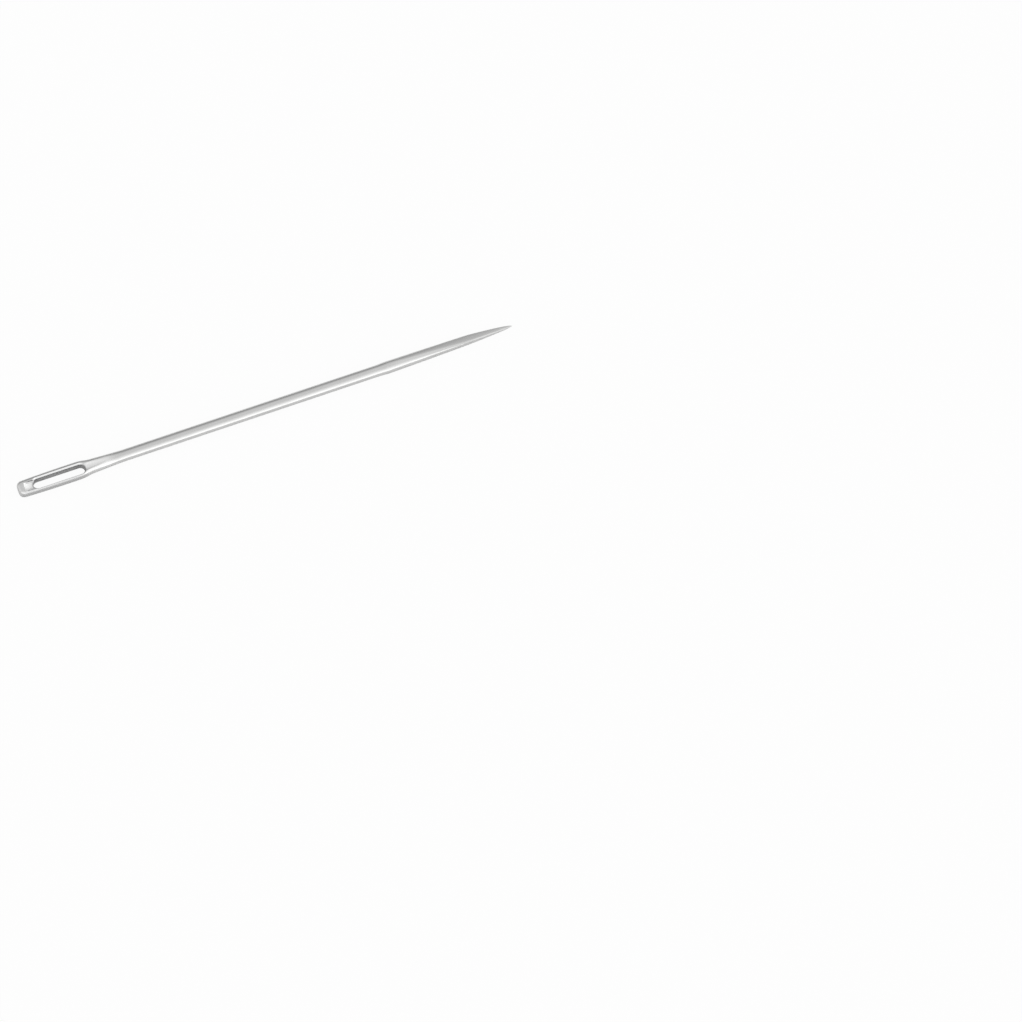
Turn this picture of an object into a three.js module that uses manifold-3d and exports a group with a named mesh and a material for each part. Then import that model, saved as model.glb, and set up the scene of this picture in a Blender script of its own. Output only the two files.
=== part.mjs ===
// Straight upholstery needle: one length of polished, nickel-plated steel wire.
// Millimetres, +X from the eye to the tip, +Z up. The origin lies under the middle of the needle,
// on the surface that it rests on. Places along the needle are measured from its eye end.

import * as THREE from "three";
import { mergeVertices } from "three/addons/utils/BufferGeometryUtils.js";
import Module from "manifold-3d";

// Wire
const needleLength = 99.2;
const shankDiameter = 2.2;

// Head, swaged flat on its two faces
const headThickness = 2.05;
const headWidestWidth = 3.3;
const headWidestAt = 9.5;
const headEndWidth = 2.95;
const headEndFlatWidth = 1.3;
const headCornerLength = 1.1;
const headEndEdgeRadius = 0.4;
const headSideRounding = 0.38;
const headSideHeight = 0.72;

// Neck, from the flat head to the round shank
const neckLead = 1;
const neckLength = 8.5;
const neckWidth = 2.8;
const shoulderLength = 2.4;

// Eye, punched through the head, with rounded edges
const eyeSetback = 2.9;
const eyeLength = 10;
const eyeWidth = 1.85;
const eyeOffset = -0.22;
const eyeEdgeWidth = 0.25;
const eyeEdgeDepth = 0.45;
const eyeEdgeCurve = 1.5;

// Thread gutter, a channel with a rounded floor, pressed into both faces in line with the eye
const gutterWidth = 1.85;
const gutterDepth = 0.6;
const gutterFloorRise = 0.48;
const gutterSetback = 1.1;
const gutterRunOut = 5;

// Point, ground to three edges from a slightly swollen stretch of the wire
const pointLength = 25;
const pointSwellDiameter = 2.44;
const swellLength = 3;
const facetCount = 3;
const facetTurn = 18;
const facetTaper = 0.72;
const edgeSharpness = 24;
const grindSharpness = 24;

// How finely the surfaces are drawn
const ringPoints = 48;
const cornerSteps = 8;
const sideSteps = 8;
const shoulderSteps = 8;
const neckSteps = 9;
const shankSteps = 5;
const swellSteps = 6;
const pointSteps = 30;
const pointCrowding = 1.4;
const roundEyeSteps = 14;
const eyeEdgeSteps = 4;
const gutterSteps = 26;
const gutterSides = 32;
const gutterCrowding = 1.7;
const gutterBarHeight = 2;
const overshoot = 0.4;

const shankRadius = shankDiameter / 2;
const swellRadius = pointSwellDiameter / 2;
const faceHeight = headThickness / 2;
const eyeStart = eyeSetback;
const eyeEnd = eyeSetback + eyeLength;
const neckStart = eyeEnd - neckLead;
const shoulderEnd = neckStart + shoulderLength;
const neckEnd = neckStart + neckLength;
const pointStart = needleLength - pointLength;
const swellStart = pointStart - swellLength;
const gutterStart = gutterSetback;
const gutterEnd = eyeEnd + gutterRunOut;
const ringHalfStep = Math.PI / ringPoints;

const clamp01 = (value) => Math.min(Math.max(value, 0), 1);
const mix = (from, to, share) => from + (to - from) * share;
const smooth = (share) => share * share * (3 - 2 * share);

// A quarter of a circle: 0 at the start, 1 after the given length, where it runs level.
const quarterRound = (distance, length) => {
  const left = 1 - clamp01(distance / length);
  return Math.sqrt(1 - left * left);
};

const neckShare = (x) => clamp01((x - neckStart) / neckLength);

// Half the head's width: sides that swell gently beside the eye, with rounded corners at the end.
function headHalfWidth(x) {
  const fromWidest = (x - headWidestAt) / headWidestAt;
  const side = (headWidestWidth - (headWidestWidth - headEndWidth) * fromWidest * fromWidest) / 2;
  return mix(headEndFlatWidth / 2, side, quarterRound(x, headCornerLength));
}

// Half the width of the head, neck and shank. The sides draw in round the end of the eye by a soft
// shoulder, and from there the neck is a slim cone.
function halfWidth(x) {
  if (x <= neckStart) return headHalfWidth(x);
  const cone = mix(neckWidth / 2, shankRadius, neckShare(x));
  const shoulder = smooth(1 - clamp01((x - neckStart) / shoulderLength));
  return cone + (headHalfWidth(neckStart) - neckWidth / 2) * shoulder;
}

// Height of the faces above the axis: level on the head, with a rise to the top of the round shank.
const faceAt = (x) => mix(faceHeight, shankRadius, smooth(neckShare(x)));

// Half the thickness: that of the faces, with the edge of the head's end rounded over.
const halfThickness = (x) => faceAt(x) - headEndEdgeRadius * (1 - quarterRound(x, headEndEdgeRadius));

// One ring of the head, neck or shank: a rectangle whose corners are quarters of an ellipse.
// On the shank the corners are a quarter circle each, and the ring is round.
function wireRing(x) {
  const across = halfWidth(x);
  const up = halfThickness(x);
  const share = smooth(neckShare(x));
  const cornerAcross = Math.min(mix(headSideRounding, shankRadius, share), across);
  const cornerUp = Math.min(mix(headSideHeight, shankRadius, share), up);
  const ring = [];
  for (let i = 0; i < ringPoints; i += 1) {
    const angle = (2 * i + 1) * ringHalfStep;
    const c = Math.cos(angle);
    const s = Math.sin(angle);
    const y = Math.sign(c) * (across - cornerAcross) + (cornerAcross * c) / Math.cos(ringHalfStep);
    const z = Math.sign(s) * (up - cornerUp) + (cornerUp * s) / Math.cos(ringHalfStep);
    ring.push([x, y, z]);
  }
  return ring;
}

// How far the point's round stock and its flat facets lie from the axis. The facets close in on
// the tip along a slightly swelling curve.
const stockRadius = (x) => mix(shankRadius, swellRadius, smooth(clamp01((x - swellStart) / swellLength)));
const facetDistance = (x) => swellRadius * ((needleLength - x) / pointLength) ** facetTaper;

// One ring of the point: three facets whose edges are rounded over, cut into the round stock.
function pointRing(x) {
  const stock = stockRadius(x);
  const facet = facetDistance(x);
  const ring = [];
  for (let i = 0; i < ringPoints; i += 1) {
    const angle = (2 * i + 1) * ringHalfStep;
    let cut = 0;
    for (let f = 0; f < facetCount; f += 1) {
      const facing = Math.PI / 2 - THREE.MathUtils.degToRad(facetTurn) + (f * 2 * Math.PI) / facetCount;
      cut += (Math.max(Math.cos(angle - facing), 0) / facet) ** edgeSharpness;
    }
    const ground = cut ** (1 / edgeSharpness);
    const reach = stock ** -grindSharpness + ground ** grindSharpness;
    const radius = reach ** (-1 / grindSharpness) / Math.cos(ringHalfStep);
    ring.push([x, radius * Math.cos(angle), radius * Math.sin(angle)]);
  }
  return ring;
}

// Joins rings of equal count into a closed skin, with a fan at each end. Seen from the last ring,
// each ring runs anticlockwise.
function loft(rings, startCentre, endCentre) {
  const count = rings[0].length;
  const positions = rings.flat(2).concat(startCentre, endCentre);
  const start = rings.length * count;
  const end = start + 1;
  const lastRing = (rings.length - 1) * count;
  const index = [];
  for (let i = 0; i < count; i += 1) {
    const next = (i + 1) % count;
    for (let r = 0; r < lastRing; r += count) {
      index.push(r + i, r + count + next, r + count + i);
      index.push(r + i, r + next, r + count + next);
    }
    index.push(start, next, i);
    index.push(end, lastRing + i, lastRing + next);
  }
  const geometry = new THREE.BufferGeometry();
  geometry.setAttribute("position", new THREE.Float32BufferAttribute(positions, 3));
  geometry.setIndex(index);
  return geometry;
}

const steps = (from, to, count, curve = (share) => share) =>
  Array.from({ length: count }, (_, i) => mix(from, to, curve(i / count)));

// The whole wire without its eye and gutters, from the end of the head to the tip.
function wireSolid() {
  const cornerCurve = (share) => 1 - Math.cos((share * Math.PI) / 2);
  const crowdTip = (share) => 1 - (1 - share) ** pointCrowding;
  const wire = [
    ...steps(0, headCornerLength, cornerSteps, cornerCurve),
    ...steps(headCornerLength, neckStart, sideSteps),
    ...steps(neckStart, shoulderEnd, shoulderSteps),
    ...steps(shoulderEnd, neckEnd, neckSteps),
    ...steps(neckEnd, swellStart, shankSteps),
  ];
  const point = [
    ...steps(swellStart, pointStart, swellSteps),
    ...steps(pointStart, needleLength, pointSteps, crowdTip),
  ];
  const rings = [...wire.map(wireRing), ...point.map(pointRing)];
  return loft(rings, [0, 0, 0], [needleLength, 0, 0]);
}

// Depth of the gutter below the face: a rounded start near the end of the head, full depth where
// the eye begins, and a slow run-out past its other end.
function gutterDepthAt(x) {
  if (x < eyeStart) return gutterDepth * quarterRound(x - gutterStart, eyeStart - gutterStart);
  return (gutterDepth * (gutterEnd - x)) / (gutterEnd - eyeStart);
}

// The bar that presses one gutter, lying along the face, with the floor's rounding on its under side.
function gutterTool(side) {
  const rings = [];
  for (let i = 0; i <= gutterSteps; i += 1) {
    const x = mix(gutterStart, gutterEnd + overshoot, (i / gutterSteps) ** gutterCrowding);
    const widest = faceAt(x) - gutterDepthAt(x) + gutterFloorRise;
    const ring = [];
    for (let j = 0; j < gutterSides; j += 1) {
      const angle = (2 * Math.PI * j) / gutterSides;
      const under = Math.sin(angle) * side < 0;
      const rise = (under ? gutterFloorRise : gutterBarHeight) * Math.sin(angle);
      ring.push([x, eyeOffset + (gutterWidth / 2) * Math.cos(angle), side * widest + rise]);
    }
    rings.push(ring);
  }
  const first = rings[0][0][2];
  const last = rings[gutterSteps][0][2];
  return loft(rings, [gutterStart, eyeOffset, first], [gutterEnd + overshoot, eyeOffset, last]);
}

// One level of the eye's punch: a slot with round ends, wider where the edge is rounded over.
function eyeRing(z, widening) {
  const radius = eyeWidth / 2 + widening;
  const ring = [];
  for (let i = 0; i <= roundEyeSteps; i += 1) {
    const angle = Math.PI / 2 + (Math.PI * i) / roundEyeSteps;
    ring.push([eyeStart + eyeWidth / 2 + radius * Math.cos(angle), eyeOffset + radius * Math.sin(angle), z]);
  }
  for (let i = 0; i <= roundEyeSteps; i += 1) {
    const angle = -Math.PI / 2 + (Math.PI * i) / roundEyeSteps;
    ring.push([eyeEnd - eyeWidth / 2 + radius * Math.cos(angle), eyeOffset + radius * Math.sin(angle), z]);
  }
  return ring;
}

// The punch that opens the eye, flared at both faces so that the thread meets no sharp edge.
function eyeTool() {
  const upper = [];
  for (let i = 0; i <= eyeEdgeSteps; i += 1) {
    const share = i / eyeEdgeSteps;
    upper.push([faceHeight + eyeEdgeDepth * (share - 1), eyeEdgeWidth * share ** eyeEdgeCurve]);
  }
  upper.push([faceHeight + overshoot, eyeEdgeWidth]);
  const lower = upper.map(([z, widening]) => [-z, widening]).reverse();
  const rings = [...lower, ...upper].map(([z, widening]) => eyeRing(z, widening));
  const middle = (eyeStart + eyeEnd) / 2;
  return loft(rings, [middle, eyeOffset, rings[0][0][2]], [middle, eyeOffset, rings[rings.length - 1][0][2]]);
}

const wasm = await Module();
wasm.setup();

// A closed geometry as a solid that can be cut.
function solid(geometry) {
  const merged = mergeVertices(geometry);
  const vertProperties = new Float32Array(merged.attributes.position.array);
  const triVerts = new Uint32Array(merged.index.array);
  return new wasm.Manifold(new wasm.Mesh({ numProp: 3, vertProperties, triVerts }));
}

function geometryOf(shape) {
  const mesh = shape.getMesh();
  const geometry = new THREE.BufferGeometry();
  geometry.setAttribute("position", new THREE.BufferAttribute(mesh.vertProperties, 3));
  geometry.setIndex(new THREE.BufferAttribute(mesh.triVerts, 1));
  geometry.computeVertexNormals();
  return geometry;
}

function makeNeedle() {
  const shape = solid(wireSolid())
    .subtract(solid(gutterTool(1)))
    .subtract(solid(gutterTool(-1)))
    .subtract(solid(eyeTool()));
  const plate = new THREE.MeshStandardMaterial({ color: 0xc9c8c2, roughness: 0.2, metalness: 1 });
  const needle = new THREE.Mesh(geometryOf(shape), plate);
  needle.name = "needle";
  needle.position.set(-needleLength / 2, 0, swellRadius);
  return needle;
}

const part = new THREE.Group();
part.add(makeNeedle());

export default part;
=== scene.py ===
"""A straight upholstery needle of polished nickel plate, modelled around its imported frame."""

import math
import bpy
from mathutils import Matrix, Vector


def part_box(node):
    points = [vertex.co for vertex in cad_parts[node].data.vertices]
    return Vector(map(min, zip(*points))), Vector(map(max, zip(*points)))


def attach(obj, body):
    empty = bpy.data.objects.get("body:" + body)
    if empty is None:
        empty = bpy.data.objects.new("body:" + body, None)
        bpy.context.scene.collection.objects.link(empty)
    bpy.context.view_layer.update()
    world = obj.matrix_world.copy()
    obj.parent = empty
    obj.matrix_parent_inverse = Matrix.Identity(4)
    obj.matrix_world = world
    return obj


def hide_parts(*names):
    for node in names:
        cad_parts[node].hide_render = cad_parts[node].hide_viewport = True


bl_info = {
    "name": "Upholstery needle",
    "version": (1, 0, 0),
    "blender": (4, 5, 0),
    "location": "View3D > Sidebar > Needle",
    "description": "Draws, presses, punches, grinds and plates a straight needle, and sets its stage",
    "category": "Object",
}

from types import SimpleNamespace

import bmesh
import bpy
from bpy.props import FloatProperty, FloatVectorProperty, PointerProperty
from mathutils import Quaternion, Vector

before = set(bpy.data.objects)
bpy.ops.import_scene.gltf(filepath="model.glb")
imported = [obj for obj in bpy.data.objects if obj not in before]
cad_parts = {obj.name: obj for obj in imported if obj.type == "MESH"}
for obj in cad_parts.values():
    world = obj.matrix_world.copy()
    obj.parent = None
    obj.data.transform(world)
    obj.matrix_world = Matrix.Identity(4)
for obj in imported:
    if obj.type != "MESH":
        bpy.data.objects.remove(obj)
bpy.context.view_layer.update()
LOW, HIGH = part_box("needle")
MM = 0.001

# Blender's mesh tools merge or skip what is smaller than a tenth of a millimetre, so the needle is
# modelled a thousand times its size, with its eye end at the origin, and scaled down at the end.
ENLARGED = 1000

# How finely the needle is drawn, punched, pressed and ground.
RING_SIDES = 96
CORNER_RINGS = 16
HEAD_RINGS = 20
SHOULDER_RINGS = 12
NECK_RINGS = 14
SHANK_RINGS = 6
SWELL_RINGS = 8
EYE_SIDES = 64
EYE_EDGE_STEPS = 7
GUTTER_SIDES = 96
GUTTER_STEPS = 16
GRIND_CUTS = 22
# The point has three facets. Between them it is also ground at these angles, in degrees from each of
# its edges, and the first angle is the facet itself.
FACETS = 3
EDGE_TURNS = range(-60, 60, 15)
# Faces that meet at more than this keep a sharp edge.
CREASE_ANGLE = math.radians(35)

# Exponents that crowd steps together: the gutter's at its start, and the grinding's at the tip.
GUTTER_CROWDING = 1.7
GRIND_CROWDING = 1.5
# Exponent that keeps the edges' wear for the tip's end of the point.
WEAR_LATENESS = 1.3

# Reach and margins of the tools, in the enlarged needle's units, which stand for millimetres.
PUNCH_CLEARANCE = 0.4
GUTTER_BAR_HEIGHT = 2
GUTTER_BAR_OVERRUN = 1
GUTTER_BAR_START_GAP = 0.05
GRIND_MARGIN = 1
# Points that are closer than this count as being in one place.
TOUCHING = 1e-5

# Grains of the plate's patterns, along the needle, across it and up.
CLOUD_GRAIN = (4 * MM, 0.9 * MM, 0.9 * MM)
SPECK_GRAIN = (0.35 * MM, 0.12 * MM, 0.12 * MM)
POLISH_GRAIN = (5 * MM, 0.06 * MM, 0.06 * MM)
GRIND_GRAIN = (0.09 * MM, 0.9 * MM, 0.9 * MM)
# How deep the clouds' tone is, how strong the painted shade on the head's near side is, and what each mark
# adds to the roughness.
CLOUD_SHADE = 0.94
NEAR_SIDE_SHADE = 0.8
CLOUD_ROUGHNESS = 0.05
SPECK_ROUGHNESS = 0.04
GROUND_ROUGHNESS = 0.06
NEAR_SIDE_ROUGHNESS = 0.3

# Brightness of the studio from its front, at y = -1, over the top to its back, at y = 1.
STUDIO = (
    (0.00, 1.42),
    (0.03, 1.38),
    (0.08, 1.16),
    (0.17, 0.97),
    (0.32, 0.78),
    (0.50, 0.70),
    (0.66, 0.74),
    (0.83, 0.62),
    (0.96, 0.36),
    (1.00, 0.27),
)
# How much brighter the studio is beyond the needle's two ends, and between which x that sets in.
TIP_END_GAIN = 0.45
TIP_END_RISE = (0.25, 0.34)
EYE_END_GAIN = 0.16
EYE_END_RISE = (-0.14, 0.04)
# The nearest that the camera sees, in metres.
NEAREST_SEEN = 0.01


def millimetres(name, description, value):
    """A length that a user can change, with its default in millimetres."""
    return FloatProperty(
        name=name, description=description, default=value * MM, unit="LENGTH", precision=6)


class NeedleSizes(bpy.types.PropertyGroup):
    """The needle's sizes. Places along it are measured from its eye end."""

    shank_diameter: millimetres("Shank", "Diameter of the wire", 2.2)
    head_thickness: millimetres("Head thickness", "Distance between the head's two flat faces", 2.05)
    head_widest_width: millimetres("Head width", "Width of the head where it is widest", 3.3)
    head_widest_at: millimetres("Widest at", "Where the head is widest", 9.5)
    head_end_width: millimetres("End width", "Width that the head's sides run to at its end", 2.95)
    head_end_flat: millimetres("End flat", "Width of the straight part of the head's end", 1.3)
    head_corner: millimetres("End corners", "Length of the rounded corners of the head's end", 1.1)
    head_end_edge: millimetres("End edge", "Rounding between the head's end and its faces", 0.4)
    side_rounding: millimetres("Side rounding", "How far the head's round sides reach in", 0.75)
    side_height: millimetres("Side height", "How far the head's round sides reach down", 0.72)
    neck_lead: millimetres("Neck lead", "How far before the eye's end the neck begins", 1.0)
    neck_length: millimetres("Neck", "Length of the neck between the flat head and the round shank", 8.5)
    neck_width: millimetres("Neck width", "Width that the neck's slim cone starts from", 2.8)
    shoulder_length: millimetres("Shoulder", "Length of the soft shoulder between head and neck", 2.4)
    eye_setback: millimetres("Eye setback", "Distance from the head's end to the eye", 2.9)
    eye_length: millimetres("Eye length", "Length of the eye", 10.0)
    eye_width: millimetres("Eye width", "Width of the eye", 1.85)
    eye_offset: millimetres("Eye offset", "How far the eye and gutters lie off the head's middle", -0.22)
    eye_edge_width: millimetres("Eye edge width", "How much the eye's edge widens it on each side", 0.32)
    eye_edge_depth: millimetres("Eye edge depth", "Depth of the eye's rounded edge", 0.45)
    gutter_setback: millimetres("Gutter setback", "Distance from the head's end to the thread gutter", 1.1)
    gutter_width: millimetres("Gutter width", "Width of the thread gutter", 1.85)
    gutter_depth: millimetres("Gutter depth", "Depth of the thread gutter where the eye begins", 0.6)
    gutter_floor_rise: millimetres("Gutter floor", "How far the gutter's round floor rises", 0.48)
    gutter_run_out: millimetres("Gutter run-out", "How far the thread gutter runs on past the eye", 5.0)
    point_length: millimetres("Point", "Length of the ground point", 25.0)
    swell_diameter: millimetres("Swell", "Diameter of the wire just before the point", 2.44)
    swell_length: millimetres("Swell length", "Length over which the wire swells", 3.0)
    tip_blunting: millimetres("Tip", "Distance of the facets from the axis at the very tip", 0.015)
    facet_turn: FloatProperty(
        name="Facet turn", description="Turn of the point's facets against the head's faces",
        default=math.radians(18), subtype="ANGLE")
    facet_taper: FloatProperty(
        name="Facet taper", description="1 grinds flat facets, and less lets them swell",
        default=0.55, min=0.5, max=1)
    edge_dulling: FloatProperty(
        name="Edge dulling",
        description="Radius of the point's three edges, as a share of the facets' distance from the axis",
        default=0.3, min=0.01, max=1)
    edge_wear: FloatProperty(
        name="Edge wear", description="How much the edges draw in toward the tip, before the facets meet",
        default=0.08, min=0, max=0.7)
    grind_bite: millimetres("Grinding bite", "How deep the grinding starts into the swell", 0.05)
    eye_edge_curve: FloatProperty(
        name="Eye edge curve", description="How late the eye's rounded edge flares out",
        default=1.5, min=1, max=4)


class NickelPlate(bpy.types.PropertyGroup):
    """The finish of the needle."""

    bright: FloatVectorProperty(
        name="Bright nickel", description="Colour of the polished plate",
        subtype="COLOR", size=3, min=0, max=1, default=(0.785, 0.785, 0.78))
    satin: FloatVectorProperty(
        name="Satin nickel", description="Colour of the plate in the gutters, which the wheel only brushes",
        subtype="COLOR", size=3, min=0, max=1, default=(0.92, 0.92, 0.915))
    # Painted shade: this colour is painted on the eye's and gutters' walls and on the head's near side, for
    # the shade there.
    painted_shade: FloatVectorProperty(
        name="Dark nickel", description="Colour of the plate on the eye's walls, which no wheel reaches",
        subtype="COLOR", size=3, min=0, max=1, default=(0.58, 0.58, 0.58))
    polished: FloatProperty(
        name="Polished", description="Roughness of the polished plate",
        default=0.14, min=0, max=1, subtype="FACTOR")
    unpolished: FloatProperty(
        name="Unpolished", description="Roughness of the plate in the hollows",
        default=0.36, min=0, max=1, subtype="FACTOR")
    polish_lines: FloatProperty(
        name="Polish lines", description="Height of the fine lines that polishing leaves along the needle",
        default=0.0006 * MM, unit="LENGTH", precision=6)
    grind_lines: FloatProperty(
        name="Grinding lines", description="Height of the fine lines that grinding leaves on the facets",
        default=0.0010 * MM, unit="LENGTH", precision=6)


class NeedleStage(bpy.types.PropertyGroup):
    """The floor, the light and the camera."""

    floor_color: FloatVectorProperty(
        name="Floor", description="Colour of the floor", subtype="COLOR", size=3, min=0, max=1,
        default=(0.76, 0.76, 0.76))
    floor_size: FloatProperty(name="Floor size", description="Side of the floor", default=8, unit="LENGTH")
    floor_white: FloatProperty(
        name="Floor white", description="How far the floor that the camera sees is lifted to white",
        default=0.95, min=0, max=1, subtype="FACTOR")
    aim: FloatVectorProperty(
        name="Aim", description="Point of the floor that is in the middle of the picture",
        subtype="TRANSLATION", size=3, default=(34.57 * MM, -35.49 * MM, 0))
    azimuth: FloatProperty(
        name="Azimuth", description="Direction in which the camera stands", default=math.radians(-32.7),
        subtype="ANGLE")
    elevation: FloatProperty(
        name="Elevation", description="Height of the camera over the floor", default=math.radians(64.6),
        subtype="ANGLE")
    roll: FloatProperty(
        name="Roll", description="Turn of the camera about its own axis", default=math.radians(10.93),
        subtype="ANGLE")
    distance: millimetres("Distance", "Distance of the camera from the point that it is aimed at", 621.8)
    lens: FloatProperty(
        name="Lens", description="Focal length of the camera", default=117.19, unit="CAMERA")


def mix(start, end, share):
    return start + (end - start) * share


def clamp(value):
    return min(max(value, 0.0), 1.0)


def smooth(share):
    return share * share * (3 - 2 * share)


def quarter_round(distance, reach):
    """A quarter of a circle: it starts steeply at 0 and runs level at 1 when it has gone the reach."""
    left = 1 - clamp(distance / reach)
    return math.sqrt(1 - left * left)


def places(start, end, count, spread=lambda share: share):
    """Places from start to end, without the start itself."""
    return [mix(start, end, spread((i + 1) / count)) for i in range(count)]


class NeedleForm:
    """The needle's form, worked out from its sizes, enlarged, and measured from its eye end."""

    def __init__(self, sizes):
        values = {}
        for prop in sizes.bl_rna.properties:
            if prop.type == "FLOAT":
                value = getattr(sizes, prop.identifier)
                values[prop.identifier] = value * ENLARGED if prop.unit == "LENGTH" else value
        self.sizes = SimpleNamespace(**values)
        self.length = (HIGH.x - LOW.x) * ENLARGED
        self.shank = self.sizes.shank_diameter / 2
        self.swell = self.sizes.swell_diameter / 2
        self.ground_radius = self.swell - self.sizes.grind_bite
        self.face = self.sizes.head_thickness / 2
        self.eye_end = self.sizes.eye_setback + self.sizes.eye_length
        self.neck_start = self.eye_end - self.sizes.neck_lead
        self.shoulder_end = self.neck_start + self.sizes.shoulder_length
        self.neck_end = self.neck_start + self.sizes.neck_length
        self.point_start = self.length - self.sizes.point_length
        self.swell_start = self.point_start - self.sizes.swell_length
        self.gutter_end = self.eye_end + self.sizes.gutter_run_out

    def neck_share(self, x):
        return clamp((x - self.neck_start) / self.sizes.neck_length)

    def head_half_width(self, x):
        off = (x - self.sizes.head_widest_at) / self.sizes.head_widest_at
        narrowing = (self.sizes.head_widest_width - self.sizes.head_end_width) * off * off
        side = (self.sizes.head_widest_width - narrowing) / 2
        return mix(self.sizes.head_end_flat / 2, side, quarter_round(x, self.sizes.head_corner))

    def half_width(self, x):
        """The head's bulging sides, then a soft shoulder onto a slim cone, then the round wire."""
        if x <= self.neck_start:
            return self.head_half_width(x)
        if x >= self.neck_end:
            return self.wire(x)
        cone = mix(self.sizes.neck_width / 2, self.shank, self.neck_share(x))
        shoulder = smooth(1 - clamp((x - self.neck_start) / self.sizes.shoulder_length))
        return cone + (self.head_half_width(self.neck_start) - self.sizes.neck_width / 2) * shoulder

    def face_height(self, x):
        return mix(self.face, self.shank, smooth(self.neck_share(x)))

    def half_height(self, x):
        """The flat faces, with the edge of the head's end rounded over, then the round wire."""
        if x >= self.neck_end:
            return self.wire(x)
        edge = self.sizes.head_end_edge
        return self.face_height(x) - edge * (1 - quarter_round(x, edge))

    def wire(self, x):
        return mix(self.shank, self.swell, smooth(clamp((x - self.swell_start) / self.sizes.swell_length)))

    def section(self, x):
        """Half the width and height of the needle at x, and the reach of its rounded corners in each."""
        half_width, half_height = self.half_width(x), self.half_height(x)
        share = smooth(self.neck_share(x))
        corner_width = min(mix(self.sizes.side_rounding, self.shank, share), half_width)
        corner_height = min(mix(self.sizes.side_height, self.shank, share), half_height)
        if x >= self.neck_end:
            corner_width, corner_height = half_width, half_height
        return (half_width, half_height), (corner_width, corner_height)

    def facet_distance(self, x):
        """How far the ground facets lie from the needle's axis."""
        share = (self.length - x) / self.sizes.point_length
        return max(self.ground_radius * max(share, 0) ** self.sizes.facet_taper, self.sizes.tip_blunting)

    def edge_distance(self, x):
        """How far the point's edges lie from the needle's axis."""
        share = (self.length - x) / self.sizes.point_length
        worn = self.ground_radius * (1 - self.sizes.edge_wear * (1 - share) ** WEAR_LATENESS)
        return min(worn, self.facet_distance(x) * (2 - self.sizes.edge_dulling))

    def ground_distance(self, x, turn):
        """How far the ground surface lies from the axis, at an angle of up to 60 degrees from an edge."""
        edge_share = (4 * math.cos(turn) - 1 + math.cos(FACETS * turn)) / 4
        return mix(self.facet_distance(x), self.edge_distance(x), edge_share)

    def gutter_depth(self, x):
        """A round start, full depth where the eye begins, and a slow run-out."""
        start = self.sizes.gutter_setback
        if x < self.sizes.eye_setback:
            return self.sizes.gutter_depth * quarter_round(x - start, self.sizes.eye_setback - start)
        return self.sizes.gutter_depth * (self.gutter_end - x) / (self.gutter_end - self.sizes.eye_setback)

    def stations(self):
        """The places at which the needle's section is set."""
        corner = self.sizes.head_corner
        stations = places(0, corner, CORNER_RINGS, lambda share: 1 - math.cos(share * math.pi / 2))
        stations += places(corner, self.neck_start, HEAD_RINGS)
        stations += places(self.neck_start, self.shoulder_end, SHOULDER_RINGS)
        stations += places(self.shoulder_end, self.neck_end, NECK_RINGS)
        stations += places(self.neck_end, self.swell_start, SHANK_RINGS)
        stations += places(self.swell_start, self.point_start, SWELL_RINGS)
        return stations + [self.length]


def choose(piece, test):
    """Selects the points that pass a test, and the edges and faces between them."""
    mesh = bmesh.from_edit_mesh(piece.data)
    for face in mesh.faces:
        face.select = False
    for edge in mesh.edges:
        edge.select = False
    for point in mesh.verts:
        point.select = test(point.co)
    mesh.select_flush(True)
    bmesh.update_edit_mesh(piece.data)


def start_ring(name, sides, radius, centre, facing):
    """Starts a piece as a filled ring that faces along x or z, with no corner on a middle line."""
    bpy.ops.object.select_all(action="DESELECT")
    turn = (0, math.pi / 2, 0) if facing == "X" else (0, 0, 0)
    bpy.ops.mesh.primitive_circle_add(
        vertices=sides, radius=radius, fill_type="NGON", location=centre, rotation=turn)
    piece = bpy.context.object
    piece.name = piece.data.name = name
    bpy.ops.object.transform_apply(location=True, rotation=True, scale=True)
    bpy.ops.object.mode_set(mode="EDIT")
    bpy.ops.mesh.select_all(action="SELECT")
    bpy.ops.transform.rotate(value=math.pi / sides, orient_axis=facing, center_override=centre)
    return piece


def close_piece():
    """Turns all faces outwards and leaves edit mode."""
    bpy.ops.mesh.select_all(action="SELECT")
    bpy.ops.mesh.normals_make_consistent(inside=False)
    bpy.ops.object.mode_set(mode="OBJECT")


def draw_out(offset):
    """Draws the selected ring out by an offset."""
    bpy.ops.mesh.extrude_region_move(TRANSFORM_OT_translate={"value": offset})


def reshape(piece, x, old, new):
    """Gives the selected ring at x a new section: first its corners, then the flats between them."""
    (old_halves, old_corners), (new_halves, new_corners) = old, new
    growth = [new_corners[i] / old_corners[i] for i in range(2)]
    bpy.ops.transform.resize(value=(1, growth[0], growth[1]), center_override=(0, 0, 0))
    for i in range(2):
        shift = (new_halves[i] - new_corners[i]) - (old_halves[i] - old_corners[i]) * growth[i]
        if abs(shift) < TOUCHING:
            continue
        for side in (-1, 1):
            choose(piece, lambda co: abs(co.x - x) < TOUCHING and co[i + 1] * side > 0)
            offset = [0, 0, 0]
            offset[i + 1] = shift * side
            bpy.ops.transform.translate(value=offset)
    choose(piece, lambda co: abs(co.x - x) < TOUCHING)


def draw_wire(form):
    """Draws the wire out from the head's end, and presses its flat head and its neck."""
    radius = form.shank
    piece = start_ring("needle_plated", RING_SIDES, radius, (0, 0, 0), "X")
    old = ((radius, radius), (radius, radius))
    new = form.section(0)
    reshape(piece, 0, old, new)
    x = 0
    for station in form.stations():
        draw_out((station - x, 0, 0))
        x, old, new = station, new, form.section(station)
        reshape(piece, x, old, new)
    close_piece()
    return piece


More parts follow.
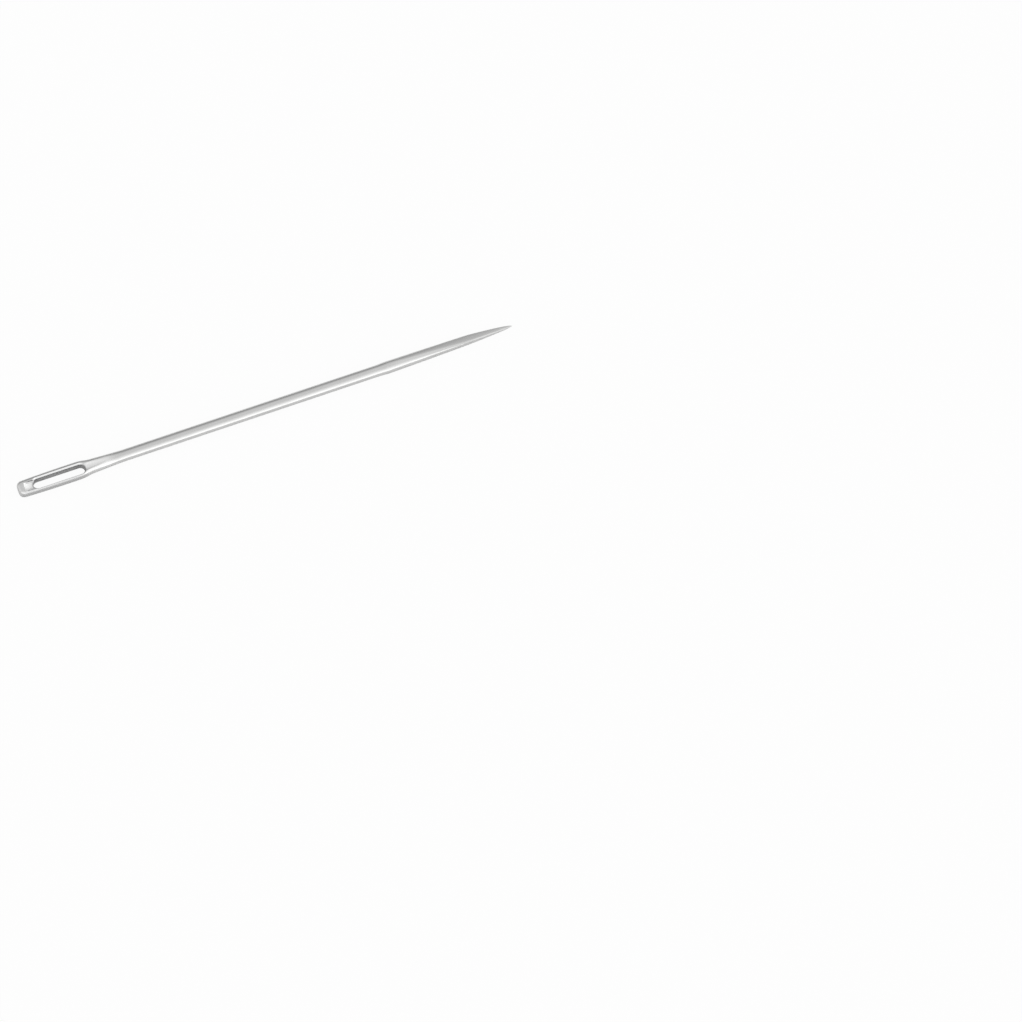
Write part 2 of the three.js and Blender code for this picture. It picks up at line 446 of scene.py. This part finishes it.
def cut_away(piece, cutter):
    """Cuts one piece out of another."""
    cut = piece.modifiers.new("Cut", "BOOLEAN")
    cut.operation = "DIFFERENCE"
    cut.solver = "EXACT"
    cut.object = cutter
    bpy.context.view_layer.objects.active = piece
    bpy.ops.object.modifier_apply(modifier=cut.name)
    bpy.data.objects.remove(cutter)


def press_gutter(piece, form, side):
    """Presses the thread gutter into the upper face, side 1, or the lower face, side -1."""
    start = form.sizes.eye_setback
    half = form.sizes.gutter_width / 2
    stops = places(form.sizes.gutter_setback, start, GUTTER_STEPS, lambda share: share**GUTTER_CROWDING)
    stops += places(start, form.gutter_end + GUTTER_BAR_OVERRUN, GUTTER_STEPS)

    def height(x):
        return side * (form.face_height(x) - form.gutter_depth(x) + form.sizes.gutter_floor_rise)

    x = form.sizes.gutter_setback
    z = height(x) + side * GUTTER_BAR_START_GAP
    cutter = start_ring("gutter_bar", GUTTER_SIDES, half, (x, form.sizes.eye_offset, z), "X")
    for part, rise in ((-1, form.sizes.gutter_floor_rise), (1, GUTTER_BAR_HEIGHT)):
        choose(cutter, lambda co: (co.z - z) * side * part > 0)
        bpy.ops.transform.resize(value=(1, 1, rise / half), center_override=(x, 0, z))
    bpy.ops.mesh.select_all(action="SELECT")
    for stop in stops:
        draw_out((stop - x, 0, height(stop) - z))
        x, z = stop, height(stop)
    close_piece()
    cut_away(piece, cutter)


def punch_eye(piece, form):
    """Punches the long eye, whose edges flare out onto both faces."""
    narrow = form.sizes.eye_width / 2
    wide = narrow + form.sizes.eye_edge_width
    flare_start = form.face - form.sizes.eye_edge_depth
    rings = [(form.face + PUNCH_CLEARANCE, wide)]
    for i in range(EYE_EDGE_STEPS + 1):
        share = 1 - i / EYE_EDGE_STEPS
        rings.append((flare_start + form.sizes.eye_edge_depth * share,
                      narrow + form.sizes.eye_edge_width * share**form.sizes.eye_edge_curve))
    rings = [(-z, radius) for z, radius in rings] + [(z, radius) for z, radius in reversed(rings)]
    middle = form.sizes.eye_setback + narrow
    z, radius = rings[0]
    cutter = start_ring("eye_punch", EYE_SIDES, radius, (middle, form.sizes.eye_offset, z), "Z")
    for new_z, new_radius in rings[1:]:
        draw_out((0, 0, new_z - z))
        bpy.ops.transform.resize(
            value=(new_radius / radius, new_radius / radius, 1),
            center_override=(middle, form.sizes.eye_offset, new_z))
        z, radius = new_z, new_radius
    choose(cutter, lambda co: co.x > middle)
    bpy.ops.transform.translate(value=(form.sizes.eye_length - form.sizes.eye_width, 0, 0))
    close_piece()
    cut_away(piece, cutter)


def grind(form, edge, turn):
    """Grinds the point along its length at an angle from one of its edges, in a chain of flat cuts."""
    out = Vector((0, math.sin(edge + turn), math.cos(edge + turn)))
    start, tip = form.point_start, form.length
    stops = [start] + places(start, tip, GRIND_CUTS, lambda share: 1 - (1 - share) ** GRIND_CROWDING)
    for near, far in zip(stops, stops[1:]):
        corner = Vector((near, 0, 0)) + out * form.ground_distance(near, turn)
        along = Vector((far, 0, 0)) + out * form.ground_distance(far, turn) - corner
        normal = out * along.x - Vector((1, 0, 0)) * along.dot(out)
        bpy.ops.mesh.select_all(action="SELECT")
        bpy.ops.mesh.bisect(
            plane_co=corner, plane_no=normal.normalized(), use_fill=True, clear_outer=True,
            threshold=TOUCHING)


def grind_point(piece, form):
    """Grinds the three facets of the point and rounds over the three edges between them."""
    bpy.ops.object.mode_set(mode="EDIT")
    choose(piece, lambda co: co.x > form.swell_start - GRIND_MARGIN)
    bpy.ops.mesh.hide(unselected=True)
    spacing = 2 * math.pi / FACETS
    for i in range(FACETS):
        for turn in EDGE_TURNS:
            grind(form, form.sizes.facet_turn + (i + 0.5) * spacing, math.radians(turn))
    bpy.ops.mesh.reveal(select=False)
    close_piece()


class Value:
    """A socket of a shader node, which can be used in Python expressions on numbers."""

    def __init__(self, nodes, socket):
        self.nodes = nodes
        self.socket = socket

    def math(self, operation, *values):
        return self.nodes.add("ShaderNodeMath", {"operation": operation}, dict(enumerate(values)))

    def __add__(self, other):
        return self.math("ADD", self, other)

    def __sub__(self, other):
        return self.math("SUBTRACT", self, other)

    def __rsub__(self, other):
        return self.math("SUBTRACT", other, self)

    def __mul__(self, other):
        return self.math("MULTIPLY", self, other)

    def __pow__(self, other):
        return self.math("POWER", self, other)

    def __abs__(self):
        return self.math("ABSOLUTE", self)

    __radd__ = __add__
    __rmul__ = __mul__

    def higher(self, other):
        return self.math("MAXIMUM", self, other)

    def rise(self, start, end):
        """0 below start and 1 above end, with a smooth rise between them."""
        return self.nodes.add("ShaderNodeMapRange", {"interpolation_type": "SMOOTHSTEP"},
                              {"Value": self, "From Min": start, "From Max": end})


class Nodes:
    """The nodes of a material or of the world."""

    def __init__(self, owner):
        owner.use_nodes = True
        self.tree = owner.node_tree
        self.tree.nodes.clear()

    def add(self, kind, settings=None, values=None, output=0):
        """Adds a node. Its settings come first, then the values or links of its sockets."""
        node = self.tree.nodes.new(kind)
        for name, setting in (settings or {}).items():
            if name == "stops":
                self.set_stops(node.color_ramp, setting)
            else:
                setattr(node, name, setting)
        for key, value in (values or {}).items():
            if isinstance(value, Value):
                self.tree.links.new(value.socket, node.inputs[key])
            else:
                node.inputs[key].default_value = value
        return Value(self, node.outputs[output]) if len(node.outputs) else None

    def set_stops(self, ramp, stops):
        """Sets the stops of a colour ramp, each a place and a grey."""
        while len(ramp.elements) < len(stops):
            ramp.elements.new(1)
        for element, (place, grey) in zip(ramp.elements, stops):
            element.position = place
            element.color = (grey, grey, grey, 1)

    def split(self, place):
        """The x, y and z of a place."""
        node = self.add("ShaderNodeSeparateXYZ", None, {"Vector": place}).socket.node
        return [Value(self, axis) for axis in node.outputs]

    def blend(self, share, first, second):
        """Blends two colours."""
        return self.add("ShaderNodeMix", {"data_type": "RGBA"}, {0: share, 6: first, 7: second}, output=2)

    def noise(self, place, grain, detail=3, roughness=0.55):
        """Noise around 0.5, whose grains have one size in metres along each axis."""
        scale = tuple(1 / size for size in grain)
        grains = self.add("ShaderNodeMapping", None, {"Vector": place, "Scale": scale})
        return self.add("ShaderNodeTexNoise", {"noise_dimensions": "3D"},
                        {"Vector": grains, "Scale": 1, "Detail": detail, "Roughness": roughness})


def past(distance, edge, start, end):
    """A distance's rise from 0 to 1 over a stretch that is measured from an edge, in millimetres."""
    return distance.rise((edge + start) * MM, (edge + end) * MM)


def plate_zones(nodes, place, form):
    """Where the plate is satin, painted with shade, painted with shade on the head's near side, brushed on
    its side and ground, each from 0 to 1.
    """
    x, y, z = nodes.split(place)
    from_end = x - LOW.x
    across = abs(y - form.sizes.eye_offset * MM)
    height = abs(z - form.swell * MM)
    eye_side = form.sizes.eye_width / 2
    gutter_start = form.sizes.gutter_setback

    # Satin: the floors of the gutters, and the neck where they run out.
    brushed = past(from_end, gutter_start, -0.1, 0.2) * (1 - past(from_end, form.gutter_end, -1, 1.5))
    in_gutter = 1 - past(height, form.face, -0.16, -0.02)
    in_neck = past(from_end, form.eye_end, -0.1, 0.6)
    between_sides = 1 - past(across, eye_side, -0.2, 0.05)
    satin = brushed * between_sides * in_gutter.higher(in_neck)

    # Painted shade: the eye's walls, all round the slot, and the walls of the gutters' steep start are
    # darkened as shade in these hollows.
    straight = form.sizes.eye_length / 2 - eye_side
    slot_middle = form.sizes.eye_setback + form.sizes.eye_length / 2
    past_straight = (abs(from_end - slot_middle * MM) - straight * MM).higher(0)
    from_eye = (past_straight * past_straight + across * across) ** 0.5
    eye_wall_shade = (past(from_eye, eye_side, -0.16, -0.04)
                 * (1 - past(from_eye, eye_side, 0.16, 0.32))
                 * (1 - past(height, form.face, -0.14, 0.02)))
    gutter_wall_shade = (past(across, eye_side, -0.36, -0.2)
                    * (1 - past(across, eye_side, 0.02, 0.1))
                    * past(from_end, gutter_start, 0.2, 0.7)
                    * (1 - past(from_end, form.sizes.eye_setback, 0.7, 1.2)))

    # Painted shade: the head's near side is darkened, and made rougher. The neck's near side is brushed
    # like its hollow.
    near_side = 1 - past(y, 0, -1.4, -1)
    near_side_shade = near_side * (1 - past(from_end, form.eye_end, -1, 1)) * NEAR_SIDE_SHADE
    painted_shade = eye_wall_shade.higher(gutter_wall_shade).higher(near_side_shade)
    brushed_side = brushed * in_neck * (1 - past(y, 0, -0.75, -0.35))
    ground = past(from_end, form.point_start, 0, 2)
    return satin, painted_shade, near_side_shade, brushed_side, ground


def nickel_plate(finish, form):
    """Polished nickel plate: bright outside, duller in the gutters, with painted shade on the eye's and
    gutters' walls and the head's near side, and fine lines of work.
    """
    material = bpy.data.materials.new("nickel_plate")
    nodes = Nodes(material)
    place = nodes.add("ShaderNodeTexCoord", output="Object")
    satin, painted_shade, near_side_shade, brushed_side, ground = plate_zones(nodes, place, form)

    clouds = nodes.noise(place, CLOUD_GRAIN)
    specks = nodes.noise(place, SPECK_GRAIN, detail=2)
    lines = nodes.noise(place, POLISH_GRAIN, detail=2)
    strokes = nodes.noise(place, GRIND_GRAIN, detail=2)

    cloud_color = (*(shade * CLOUD_SHADE for shade in finish.bright), 1)
    bright = nodes.blend(clouds.rise(0.35, 0.7), (*finish.bright, 1), cloud_color)
    # Painted shade over the plate: the darker colour on the eye's and gutters' walls and on the head's near
    # side.
    color = nodes.blend(painted_shade, nodes.blend(satin, bright, (*finish.satin, 1)), (*finish.painted_shade, 1))
    clouded = clouds.rise(0.3, 0.75) * CLOUD_ROUGHNESS
    specked = specks.rise(0.55, 0.8) * SPECK_ROUGHNESS
    unpolished = satin.higher(brushed_side) * (finish.unpolished - finish.polished)
    roughness = (finish.polished + clouded + specked + ground * GROUND_ROUGHNESS
                 + near_side_shade * NEAR_SIDE_ROUGHNESS + unpolished)
    relief = lines * (1 - ground) * finish.polish_lines + strokes * ground * finish.grind_lines
    normal = nodes.add("ShaderNodeBump", None, {"Strength": 1, "Distance": 1, "Height": relief})

    shader = nodes.add("ShaderNodeBsdfPrincipled", None,
                       {"Base Color": color, "Metallic": 1, "Roughness": roughness, "Normal": normal})
    nodes.add("ShaderNodeOutputMaterial", None, {"Surface": shader})
    return material


class NEEDLE_OT_make(bpy.types.Operator):
    """Makes the needle from one length of wire and plates it"""

    bl_idname = "needle.make"
    bl_label = "Needle"

    def execute(self, context):
        form = NeedleForm(context.scene.needle_sizes)
        piece = draw_wire(form)
        press_gutter(piece, form, 1)
        press_gutter(piece, form, -1)
        punch_eye(piece, form)
        grind_point(piece, form)

        piece.location = (LOW.x, 0, form.swell / ENLARGED)
        piece.scale = (1 / ENLARGED,) * 3
        bpy.ops.object.select_all(action="DESELECT")
        piece.select_set(True)
        context.view_layer.objects.active = piece
        bpy.ops.object.transform_apply(location=True, rotation=True, scale=True)
        bpy.ops.object.shade_smooth_by_angle(angle=CREASE_ANGLE)
        level = piece.modifiers.new("Even shading", "WEIGHTED_NORMAL")
        level.keep_sharp = True
        bpy.ops.object.modifier_apply(modifier=level.name)

        piece.data.materials.append(nickel_plate(context.scene.nickel_plate, form))
        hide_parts("needle")
        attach(piece, "root")
        return {"FINISHED"}


def light_world(scene):
    """Lights the studio: bright in front, dim behind, brighter at both ends, and white for the camera."""
    world = bpy.data.worlds.new("studio")
    scene.world = world
    nodes = Nodes(world)
    direction = nodes.add("ShaderNodeTexCoord", output="Generated")
    x, y = nodes.split(direction)[:2]
    ends = 1 + x.rise(*TIP_END_RISE) * TIP_END_GAIN + (1 - x.rise(*EYE_END_RISE)) * EYE_END_GAIN
    brightest = STUDIO[0][1]
    stops = [(place, level / brightest) for place, level in STUDIO]
    level = nodes.add("ShaderNodeValToRGB", {"stops": stops}, {"Fac": y * 0.5 + 0.5})
    studio = nodes.add("ShaderNodeBackground", None, {"Color": level, "Strength": ends * brightest})
    white = nodes.add("ShaderNodeBackground", None, {"Color": (1, 1, 1, 1), "Strength": 1})
    seen = nodes.add("ShaderNodeLightPath", output="Is Camera Ray")
    both = nodes.add("ShaderNodeMixShader", None, {0: seen, 1: studio, 2: white})
    nodes.add("ShaderNodeOutputWorld", None, {"Surface": both})


def floor_paper(stage):
    """Pale paper. What the camera sees of it is lifted towards white, and keeps part of its shadow."""
    material = bpy.data.materials.new("floor_paper")
    nodes = Nodes(material)
    seen = nodes.add("ShaderNodeLightPath", output="Is Camera Ray")
    lift = seen * stage.floor_white
    paper = nodes.add("ShaderNodeBsdfDiffuse", None, {"Color": (*stage.floor_color, 1)})
    white = nodes.add("ShaderNodeEmission", None, {"Color": (1, 1, 1, 1), "Strength": 1})
    both = nodes.add("ShaderNodeMixShader", None, {0: lift, 1: paper, 2: white})
    nodes.add("ShaderNodeOutputMaterial", None, {"Surface": both})
    return material


class NEEDLE_OT_stage(bpy.types.Operator):
    """Sets the floor, the light and the camera"""

    bl_idname = "needle.stage"
    bl_label = "Stage"

    def execute(self, context):
        stage = context.scene.needle_stage
        bpy.ops.object.select_all(action="DESELECT")
        bpy.ops.mesh.primitive_plane_add(size=stage.floor_size)
        floor = context.object
        floor.name = floor.data.name = "floor"
        floor.data.materials.append(floor_paper(stage))
        light_world(context.scene)

        across, up = math.cos(stage.elevation), math.sin(stage.elevation)
        back = Vector((math.sin(stage.azimuth) * across, -math.cos(stage.azimuth) * across, up))
        facing = back.to_track_quat("Z", "Y") @ Quaternion((0, 0, 1), stage.roll)
        bpy.ops.object.camera_add(
            location=Vector(stage.aim) + back * stage.distance, rotation=facing.to_euler())
        camera = context.object
        camera.data.lens = stage.lens
        camera.data.clip_start = NEAREST_SEEN
        context.scene.camera = camera
        context.scene.view_settings.view_transform = "Standard"
        return {"FINISHED"}


class NEEDLE_PT_panel(bpy.types.Panel):
    """Lists the needle's operators and settings"""

    bl_label = "Upholstery needle"
    bl_idname = "NEEDLE_PT_panel"
    bl_space_type = "VIEW_3D"
    bl_region_type = "UI"
    bl_category = "Needle"

    def draw(self, context):
        scene = context.scene
        parts = ((NEEDLE_OT_make, (scene.needle_sizes, scene.nickel_plate)),
                 (NEEDLE_OT_stage, (scene.needle_stage,)))
        for operator, groups in parts:
            box = self.layout.box()
            box.operator(operator.bl_idname)
            for group in groups:
                for name in type(group).__annotations__:
                    box.prop(group, name)


CLASSES = (NeedleSizes, NickelPlate, NeedleStage, NEEDLE_OT_make, NEEDLE_OT_stage, NEEDLE_PT_panel)


def register():
    for cls in CLASSES:
        bpy.utils.register_class(cls)
    bpy.types.Scene.needle_sizes = PointerProperty(type=NeedleSizes)
    bpy.types.Scene.nickel_plate = PointerProperty(type=NickelPlate)
    bpy.types.Scene.needle_stage = PointerProperty(type=NeedleStage)


def unregister():
    del bpy.types.Scene.needle_stage
    del bpy.types.Scene.nickel_plate
    del bpy.types.Scene.needle_sizes
    for cls in reversed(CLASSES):
        bpy.utils.unregister_class(cls)


def main():
    register()
    bpy.ops.needle.make()
    bpy.ops.needle.stage()


if __name__ == "__main__":
    main()
